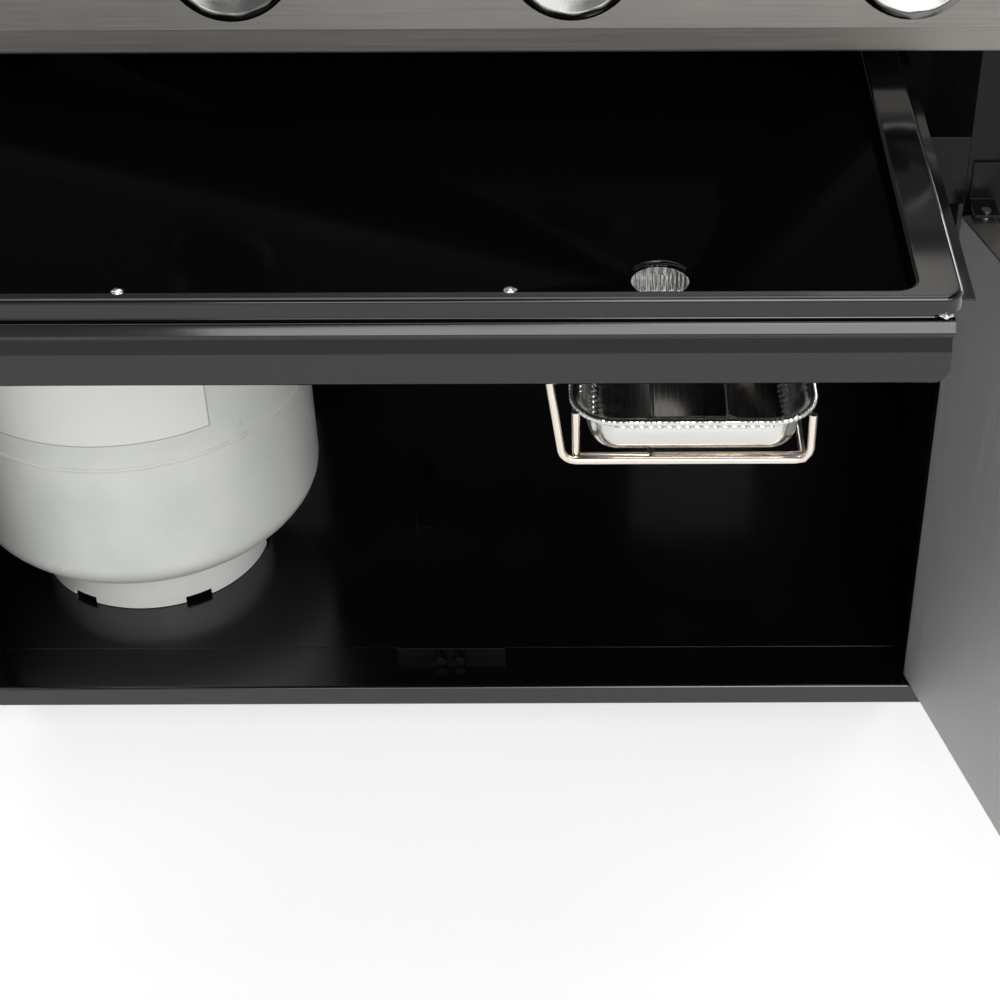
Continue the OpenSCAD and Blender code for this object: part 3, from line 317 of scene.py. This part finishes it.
def piece(name, bm, material, body, smooth=40, replaces=None):
    """Makes a finished object from a bmesh, and lets it ride on a body."""
    mesh = bpy.data.meshes.new(name)
    bm.to_mesh(mesh)
    bm.free()
    mesh.materials.clear()
    mesh.materials.append(material)
    mesh.shade_smooth()
    mesh.set_sharp_from_angle(angle=math.radians(smooth))
    made = bpy.data.objects.new(name, mesh)
    bpy.context.collection.objects.link(made)
    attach(made, body)
    if replaces:
        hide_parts(replaces)
    return made


def roomy(edge, room):
    """Says whether the faces on both sides of an edge reach far enough to be rounded."""
    start = edge.verts[0].co
    along = (edge.verts[1].co - start).normalized()
    return all(max((v.co - start).cross(along).length for v in face.verts) > room
               for face in edge.link_faces)


def softened(node, width_mm=0, segments=3, smooth=40, wanted=None):
    """A copy of a CAD node with its triangles merged and its free or wanted sharp edges rounded,
    which stands for the node."""
    bm = bmesh.new()
    bm.from_mesh(nodes[node].data)
    bmesh.ops.remove_doubles(bm, verts=bm.verts, dist=merge_within)
    bmesh.ops.dissolve_limit(bm, angle_limit=flat_turn, verts=bm.verts, edges=bm.edges)
    if width_mm:
        wanted = wanted or (lambda edge: roomy(edge, rounding_room * width_mm * MM))
        sharp = [e for e in bm.edges if e.calc_face_angle(0) > sharp_turn and wanted(e)]
        bmesh.ops.bevel(bm, geom=sharp, offset=width_mm * MM, offset_type="OFFSET", segments=segments,
                        affect="EDGES", profile=0.5, material=-1, clamp_overlap=False)
        # Where two roundings meet, a corner can swing out a little: it is put back in the node's box.
        low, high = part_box(node)
        for v in bm.verts:
            v.co = [min(max(c, a), b) for c, a, b in zip(v.co, low, high)]
    slot = slot_of[node]
    made = piece(node + "_finished", bm, finish[slot], body_of[node], smooth, node)
    if width_mm:
        made.modifiers.new("flat_faces_stay_flat", "WEIGHTED_NORMAL").keep_sharp = True
    return made


def middle(node):
    """The middle of a CAD node's box."""
    low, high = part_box(node)
    return (low + high) / 2


def placed(bm, verts, spot, facing):
    """Turns new vertices from +Z to the facing direction and moves them to a spot."""
    turn = Vector((0, 0, 1)).rotation_difference(Vector(facing)).to_matrix().to_4x4()
    bmesh.ops.transform(bm, matrix=Matrix.Translation(spot) @ turn, verts=verts)


def screws(name, spots, body):
    """Pan-head screws with a cross on the head: each spot is a place and the way its head faces."""
    head_d = 9 * MM
    blade_size = (0.55 * head_d, 0.13 * head_d, 0.3 * MM)
    bm = bmesh.new()
    for spot, facing in spots:
        head = bmesh.ops.create_uvsphere(bm, u_segments=20, v_segments=8, radius=head_d / 2)["verts"]
        below = [v for v in head if v.co.z < -1e-6]
        bmesh.ops.delete(bm, geom=below, context="VERTS")
        head = [v for v in head if v.is_valid]
        bmesh.ops.scale(bm, vec=(1, 1, 0.5), verts=head)
        for turn in (20, 110):
            blade = bmesh.ops.create_cube(bm, size=1)["verts"]
            bmesh.ops.scale(bm, vec=blade_size, verts=blade)
            bmesh.ops.rotate(bm, matrix=Matrix.Rotation(math.radians(turn), 3, "Z"), verts=blade)
            bmesh.ops.translate(bm, vec=(0, 0, head_d / 4 - 0.02 * MM), verts=blade)
            head += blade
        placed(bm, head, spot, facing)
    return piece(name, bm, finish["zinc_steel"], body)


# ---- grease tray -------------------------------------------------------------------------
tray_low, tray_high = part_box("grease_tray")
rim_front, rim_top = tray_low[1], tray_high[2]
# The basin's mouth lies inside the flat rim, and its upright walls end in sloping bottom sheets.
side_rim, front_rim, back_rim, sheet_t, wall_h = 0.034, 0.010, 0.020, 0.0015, 0.015
basin_low = Vector((tray_low[0] + side_rim, rim_front + front_rim, 0))
basin_high = Vector((tray_high[0] - side_rim, tray_high[1] - back_rim, rim_top - sheet_t))
basin_foot = rim_top - wall_h
hair = 0.05 * MM  # Measures that differ by less than this are the same.


def over_basin(point, spare):
    """Says whether a point lies over the basin, or past its edge by no more than the spare."""
    return all(a - spare < c < b + spare for a, b, c in zip(basin_low[:2], basin_high[:2], point[:2]))


def on_rim(edge):
    """The rim's outer edge, the basin's mouth, and the crease where its walls meet the slopes."""
    heights = [v.co.z for v in edge.verts]
    centre = (edge.verts[0].co + edge.verts[1].co) / 2
    in_crease = max(abs(z - basin_foot) for z in heights) < hair
    return min(heights) > rim_top - hair or (over_basin(centre, 2 * hair) and in_crease)


tray = softened("grease_tray", 3, 5, wanted=on_rim)
tray.data.materials.append(basin_enamel)
for face in tray.data.polygons:
    inward = (basin_low + basin_high) / 2 - face.center
    inward.z = 0
    shows_inside = face.normal.z > 0.02 or face.normal.dot(inward) > 0.001
    if over_basin(face.center, 4 * hair) and face.center.z < basin_high.z and shows_inside:
        face.material_index = 1
softened("tray_handle", 0.4, 2, 50)
softened("pan_holder", smooth=50)

# Turned-up lip on the far side of the drain: an arc of a tube that is taller than it is thick
drain = Vector((0.165, rim_front + 0.139, tray_low[2] + 0.0016))
lip_r, lip_thick, lip_tall = 0.0199, 0.0012, 0.0026
lip_span = math.radians(120)
bm = bmesh.new()
lip = bmesh.ops.create_circle(bm, cap_ends=True, segments=16, radius=1)["verts"]
bmesh.ops.scale(bm, vec=(lip_thick, lip_tall, 1), verts=lip)
bmesh.ops.rotate(bm, matrix=Matrix.Rotation(math.pi / 2, 3, "X"), verts=lip)
bmesh.ops.translate(bm, vec=drain + Vector((lip_r, 0, 0)), verts=lip)
bmesh.ops.rotate(bm, matrix=Matrix.Rotation((math.pi - lip_span) / 2, 3, "Z"), cent=drain, verts=lip)
bmesh.ops.spin(bm, geom=bm.verts[:] + bm.edges[:] + bm.faces[:], cent=drain, axis=(0, 0, 1),
               angle=lip_span, steps=40, use_duplicate=False)
bmesh.ops.recalc_face_normals(bm, faces=bm.faces)
piece("drain_lip", bm, finish["tray_enamel"], "grease_tray", 60)

# Spots where the tray hung in the enamelling oven, two on the front rim and one under its right
# end: bare metal, a few millimetres across
spot_size = (0.0037, 0.003, 0.0019)
hanging_spots = [(-0.141, rim_front + 0.0095, rim_top - 0.0004),
                 (0.0765, rim_front + 0.0095, rim_top - 0.0004),
                 (0.3185, rim_front + 0.0008, rim_top - 0.0118)]
bm = bmesh.new()
for k, place in enumerate(hanging_spots):
    spot = bmesh.ops.create_icosphere(bm, subdivisions=3, radius=1)["verts"]
    for v in spot:
        v.co *= 1 + 0.16 * math.sin(4 * v.co.x + k) * math.cos(5 * v.co.y + 2 * k)
    bmesh.ops.scale(bm, vec=spot_size, verts=spot)
    bmesh.ops.translate(bm, vec=place, verts=spot)
piece("enamel_hanging_spots", bm, bare_metal, "grease_tray")


# ---- foil pan ----------------------------------------------------------------------------
def pan_stations(count, width, depth, corner):
    """Even steps round a rounded rectangle: for each, the corner or side it is on, and how far."""
    arc = math.pi / 2 * corner
    lengths = [arc, depth - 2 * corner, arc, width - 2 * corner] * 2
    whole, found = sum(lengths), []
    for i in range(count):
        at, k = whole * i / count, 0
        while at >= lengths[k]:
            at -= lengths[k]
            k += 1
        found.append((k, at / lengths[k]))
    return found


def pan_ring(ring, stations, centre, width, depth, corner, height, crimp):
    """Lays a ring of vertices on a rounded rectangle, waved in and out or up and down by the crimp."""
    corners = [(1, -1), (1, 1), (-1, 1), (-1, -1), (1, -1)]
    front_stretches = (0, 6, 7)
    reach = Vector((width / 2 - corner, depth / 2 - corner))
    for i, (vert, (k, share)) in enumerate(zip(ring, stations)):
        side = k // 2
        start, end = (Vector(a) * reach for a in (corners[side], corners[side + 1]))
        turn = math.radians(90 * (side - 1 + share) if k % 2 == 0 else 90 * side)
        out = Vector((math.cos(turn), math.sin(turn)))
        at = (start if k % 2 == 0 else start.lerp(end, share)) + out * corner
        push, lift = crimp(i, k in front_stretches, abs(at.x))
        at += out * push
        vert.co = (centre[0] + at.x, centre[1] + at.y, height + lift)


def next_ring(bm, ring):
    """Draws a new ring of vertices out of a ring, and returns it in the same order."""
    rank = {vert: i for i, vert in enumerate(ring)}
    edges = [e for e in bm.edges if all(v in rank for v in e.verts)]
    grown = bmesh.ops.extrude_edge_only(bm, edges=edges)["geom"]
    partner = {}
    for vert in (g for g in grown if isinstance(g, bmesh.types.BMVert)):
        for other in (e.other_vert(vert) for e in vert.link_edges):
            if other in rank:
                partner[rank[other]] = vert
    return [partner[i] for i in range(len(ring))]


def crimped(kind, pressed):
    """How far a ring's vertices stand out and up: ribs on the rim and walls, and at the front
    a ribbed band with a row of dimples over a smooth wall. A rib is 3 vertices wide, a flute 5."""
    def wave(i, front, across):
        # No two ribs are pressed equally deep.
        rib, flute = math.cos(math.tau * i / 3), math.cos(math.tau * i / 5)
        swell = 0.75 + 0.25 * math.sin(i * 0.37) * math.cos(i * 0.113)
        if kind == "roll":
            return 0.45 * rib * swell * MM, 0.3 * rib * swell * MM
        if kind is None or (front and (across > band_reach or kind in ("end", "foot"))):
            return 0, 0
        if front:
            ribs = 1.1 * flute if kind == "dimple" else 0.4 * rib
            return (ribs - pressed) * MM, 0
        return (0.3 if kind == "foot" else 0.75) * flute * swell * MM, 0
    return wave


low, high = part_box("foil_pan")
pan_centre = middle("foil_pan")
pan_w, pan_d = high[0] - low[0], high[1] - low[1]
band_reach = 0.047  # How far the front's ribbed band reaches to either side
foil_t = 0.2 * MM
turns = 576
stations = pan_stations(turns, pan_w, pan_d, 0.03)
# Each step: half the narrowing, the height and the corner's radius in mm, its crimp, and how far
# the front's ribbed band is pressed in there
steps = [
    (2.4, 29.2, 27.5, None, 0), (1.2, 29.5, 28.7, "roll", 0), (0.5, 30.6, 29.4, "roll", 0),
    (0.5, 31.9, 29.4, "roll", 0), (1.2, 32.9, 28.8, "roll", 0), (2.4, 33.3, 27.6, "roll", 0),
    (3.8, 32.8, 26.2, "roll", 0), (5.0, 31.8, 25.2, "roll", 0), (6.6, 31.2, 23.8, "roll", 0),
    (7.6, 29.5, 22.6, "wall", 0.6), (8.0, 27.5, 22.2, "wall", 1.6), (8.3, 25.8, 21.9, "wall", 2.8),
    (8.5, 24.7, 21.7, "dimple", 3.2), (8.7, 23.4, 21.5, "dimple", 2.0), (9.0, 22.0, 21.2, "wall", 0.7),
    (9.4, 20.4, 20.8, "end", 0), (9.9, 17.6, 20.3, "end", 0), (11.0, 12.0, 19.2, "end", 0),
    (11.9, 8.6, 18.2, "end", 0), (13.0, 5.6, 17.2, "end", 0), (15.4, 2.8, 15.0, "foot", 0),
    (19.4, 1.0, 11.4, None, 0), (23.0, 0.8, 9.0, None, 0), (26.0, 0.8, 7.0, None, 0)]
sizes = [(pan_w - 2 * inset * MM, pan_d - 2 * inset * MM, corner * MM, height, crimped(kind, pressed))
         for inset, height, corner, kind, pressed in steps]
# The bottom has a pressed bead along a plain rectangle.
bead_w, bead_d, bead_corner = 0.050, 0.100, 0.005
for inset, height in ((0, 0.8), (0.4, 1.2), (1.1, 1.5), (1.8, 1.2), (2.2, 0.8), (3.2, 0.8)):
    sizes.append((bead_w - 2 * inset * MM, bead_d - 2 * inset * MM, bead_corner - inset * MM, height,
                  crimped(None, 0)))

bm = bmesh.new()
ring = None
for width, depth, corner, height, wave in sizes:
    if ring:
        ring = next_ring(bm, ring)
    else:
        ring = bmesh.ops.create_circle(bm, segments=turns, radius=1)["verts"]
    pan_ring(ring, stations, pan_centre, width, depth, corner, low[2] + height * MM + foil_t / 2, wave)
last_ring = set(ring)
bmesh.ops.contextual_create(bm, geom=[e for e in bm.edges if all(v in last_ring for v in e.verts)])
bmesh.ops.recalc_face_normals(bm, faces=bm.faces)
pan = piece("crimped_foil_pan", bm, finish["foil"], "foil_pan", 50, "foil_pan")
wall = pan.modifiers.new("foil_thickness", "SOLIDIFY")
wall.thickness = foil_t
wall.offset = 0

# ---- cabinet, doors and panel ------------------------------------------------------------
roundings_mm = {
    "front_rail": 1.0, "bottom_shelf": 1.0, "front_valance": 0.4,
    "side_panel_left": 0.5, "side_panel_right": 0.5, "door_left": 1.2, "door_right": 1.2,
    "side_shelf_left": 1.2, "side_shelf_right": 1.2, "door_catch": 0.3,
    "hinge_brackets": 0.4, "shelf_brackets": 0.4, "lid_end_left": 2, "lid_end_right": 2,
    "lid_handle": 1.5, "knob_1": 0.8, "knob_2": 0.8, "knob_3": 0.8, "knob_4": 0.8,
    "firebox": 0.6, "cooking_grate_left": 1.2, "cooking_grate_right": 1.2,
    "door_handle_left": 0, "door_handle_right": 0, "warming_rack": 0, "lid_shell": 0}
for node, width_mm in roundings_mm.items():
    softened(node, width_mm)
# The bezels get the darkened chrome, painted shade.
softened("knob_bezels").data.materials[0] = bezel_plate_painted_shade

# Only the panel's long edges are rounded. Its bottom fold is a face of its own.
long_edge, fold_h = 0.3, 0.016
panel = softened("control_panel", 1.2, wanted=lambda edge: edge.calc_length() > long_edge)
panel_low, panel_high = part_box("control_panel")
# Face and bottom fold get the two darkened copies of the stainless: painted shade.
panel.data.materials[0] = panel_face_painted_shade
panel.data.materials.append(panel_edge_painted_shade)
for face in panel.data.polygons:
    if face.center.z < panel_low[2] + fold_h:
        face.material_index = 1

# ---- gas cylinder ------------------------------------------------------------------------
for node, width_mm in [("cylinder_collar", 0.9), ("cylinder_foot_ring", 0.8), ("cylinder_valve", 0.8)]:
    softened(node, width_mm)
softened("cylinder_shell", 0, smooth=30)
low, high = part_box("cylinder_shell")
tank_r, tank_middle = (high[0] - low[0]) / 2, middle("cylinder_shell")

# Weld bead where the two halves of the shell meet
bead_r, bead_sunk = 0.0022, 0.0008
bm = bmesh.new()
bead = bmesh.ops.create_circle(bm, segments=8, radius=bead_r)["verts"]
bmesh.ops.rotate(bm, matrix=Matrix.Rotation(math.pi / 2, 3, "X"), verts=bead)
bmesh.ops.translate(bm, vec=tank_middle + Vector((tank_r - bead_sunk, 0, 0)), verts=bead)
bmesh.ops.spin(bm, geom=bm.verts[:] + bm.edges[:], cent=tank_middle, axis=(0, 0, 1),
               angle=2 * math.pi, steps=120, use_merge=True)
bmesh.ops.recalc_face_normals(bm, faces=bm.faces)
piece("cylinder_weld_bead", bm, finish["cylinder_paint"], "gas_cylinder", 60)

# Blank paper label with a printed frame, wrapped round the front of the shell
label_w, label_foot, label_h, frame_w = 0.196, 0.024, 0.080, 0.0012
for name, ink, grown, lift in [("cylinder_label_frame", label_frame, 0, 0.0001),
                               ("cylinder_blank_label", blank_label, -frame_w, 0.0002)]:
    label_r = tank_r + lift
    bm = bmesh.new()
    for v in bmesh.ops.create_grid(bm, x_segments=48, y_segments=8, size=0.5)["verts"]:
        turn = v.co.x * (label_w + 2 * grown) / label_r
        up = label_foot + label_h / 2 + v.co.y * (label_h + 2 * grown)
        v.co = tank_middle + Vector((label_r * math.sin(turn), -label_r * math.cos(turn), up))
    bmesh.ops.recalc_face_normals(bm, faces=bm.faces)
    piece(name, bm, ink, "gas_cylinder", 60)

# ---- thermometer -------------------------------------------------------------------------
# The lid's front leans back 146 mm over a rise of 165 mm, and the thermometer with it.
lean = math.atan2(146, 165)
facing = Vector((0, -math.cos(lean), math.sin(lean)))
dial_r, dial_lift = 0.0345, 0.0026
dial_middle = middle("thermometer") + facing * dial_lift
bm = bmesh.new()
disc = bmesh.ops.create_circle(bm, cap_ends=True, segments=64, radius=dial_r)["verts"]
placed(bm, disc, dial_middle, facing)
piece("thermometer_dial", bm, dial_face, "lid")

# 25 marks over 270 degrees, of which every fourth is long
mark_w, mark_t, long_mark, short_mark, mark_r = 0.0009, 0.0002, 0.006, 0.0035, 0.028
marks, sweep = 25, 270
bm = bmesh.new()
for k in range(marks):
    turn = math.radians(sweep * (k / (marks - 1) - 0.5))
    mark = bmesh.ops.create_cube(bm, size=1)["verts"]
    bmesh.ops.scale(bm, vec=(mark_w, short_mark if k % 4 else long_mark, mark_t), verts=mark)
    bmesh.ops.translate(bm, vec=(0, mark_r, mark_t), verts=mark)
    bmesh.ops.rotate(bm, matrix=Matrix.Rotation(turn, 3, "Z"), verts=mark)
    placed(bm, mark, dial_middle, facing)
piece("thermometer_marks", bm, dial_ink, "lid")

needle_root_r, needle_tip_r, needle_long = 0.0016, 0.0003, 0.026
needle_ahead, needle_lift, needle_turn = 0.011, 0.0014, math.radians(120)
hub_r, hub_h, hub_lift = 0.003, 0.002, 0.0015
bm = bmesh.new()
needle = bmesh.ops.create_cone(bm, cap_ends=True, segments=4, radius1=needle_root_r,
                               radius2=needle_tip_r, depth=needle_long)["verts"]
bmesh.ops.rotate(bm, matrix=Matrix.Rotation(-math.pi / 2, 3, "X"), verts=needle)
bmesh.ops.translate(bm, vec=(0, needle_ahead, needle_lift), verts=needle)
bmesh.ops.rotate(bm, matrix=Matrix.Rotation(needle_turn, 3, "Z"), verts=needle)
hub = bmesh.ops.create_cone(bm, cap_ends=True, segments=24, radius1=hub_r, radius2=hub_r,
                            depth=hub_h)["verts"]
bmesh.ops.translate(bm, vec=(0, 0, hub_lift), verts=hub)
placed(bm, needle + hub, dial_middle, facing)
piece("thermometer_needle", bm, pointer_red, "lid")

# ---- fasteners ---------------------------------------------------------------------------
side_rows, side_heights = (0.05, 0.2, 0.35), (0.135, 0.68)
spots = []
for side, node, edge in [(-1, "side_panel_left", panel_low[0]), (1, "side_panel_right", panel_high[0])]:
    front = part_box(node)[0][1]
    spots += [((edge, front + y, z), (side, 0, 0)) for y in side_rows for z in side_heights]
screws("side_panel_screws", spots, "cabinet")

# The heads are sunk into the back panel a little, so that they stay within the grill's depth.
back_low, back_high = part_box("back_panel")
back_columns, back_sunk = (-0.36, -0.12, 0.12, 0.36), 0.0013
spots = [((x, back_high[1] - back_sunk, z), (0, 1, 0)) for x in back_columns
         for z in (back_low[2] + 0.03, back_high[2] - 0.02)]
screws("back_panel_screws", spots, "cabinet")

# ---- floor and light ---------------------------------------------------------------------
bm = bmesh.new()
bmesh.ops.create_grid(bm, x_segments=1, y_segments=1, size=12)
ground_mesh = bpy.data.meshes.new("ground")
bm.to_mesh(ground_mesh)
bm.free()
ground = bpy.data.objects.new("ground", ground_mesh)
bpy.context.collection.objects.link(ground)
# Matt paper sweep: what the camera and the gloss see of it is lifted towards white, and its
# shadow stays. For all other rays the lift is zero.
paper, tree, shader, place = new_material("pale_studio_floor", "#c4c4c2", Roughness=0.8)
seen = add(tree, "LightPath")
lift = add(tree, "Value")
for ray in ("Is Camera Ray", "Is Glossy Ray", "Is Transmission Ray"):
    lift = add(tree, "Mix", {"data_type": "FLOAT", "B": 0.62}, Factor=seen.outputs[ray], A=lift)
link(tree, shader, Emission_Strength=lift)
shader.inputs["Emission Color"].default_value = (1, 1, 1, 1)
ground_mesh.materials.append(paper)


def softbox(name, spot, aim, size, power):
    """A rectangular lamp at a spot, turned to what it lights."""
    lamp = bpy.data.lights.new(name, "AREA")
    lamp.shape = "RECTANGLE"
    lamp.size, lamp.size_y = size
    lamp.energy = power
    box = bpy.data.objects.new(name, lamp)
    box.location = spot
    box.rotation_euler = (Vector(aim) - Vector(spot)).to_track_quat("-Z", "Y").to_euler()
    bpy.context.collection.objects.link(box)


softbox("overhead_softbox", (0.1, 0.4, 3.3), (0.1, 0.4, 0), (2.4, 2.6), 50)
softbox("front_softbox", (1.2, -3.3, 1.95), (0.2, -0.2, 0.6), (4.2, 0.9), 62)
softbox("key_softbox", (0.8, -2.5, 2.6), (0.1, -0.2, 0.5), (1.4, 1.2), 40)
softbox("back_right_softbox", (2.4, 2.2, 1.3), (0.3, -0.2, 0.7), (1.2, 0.8), 30)
softbox("back_left_softbox", (-2.4, 2.4, 2.2), (0, 0.2, 0.6), (1.4, 1.4), 30)
world = bpy.data.worlds.new("studio")
world.use_nodes = True
bpy.context.scene.world = world
sky = world.node_tree
sky.nodes.clear()
# Pale walls under a dark ceiling, so that gloss black enamel which faces up stays black
direction = add(sky, "SeparateXYZ", Vector=add(sky, "TexCoord").outputs["Generated"])
walls = add(sky, "ValToRGB", stops=[(0.15, "#eceeef"), (0.75, "#5c5d5f")], Fac=direction.outputs["Z"])
glow = add(sky, "Background", {"Strength": 0.9}, Color=walls)
add(sky, "OutputWorld", Surface=glow)
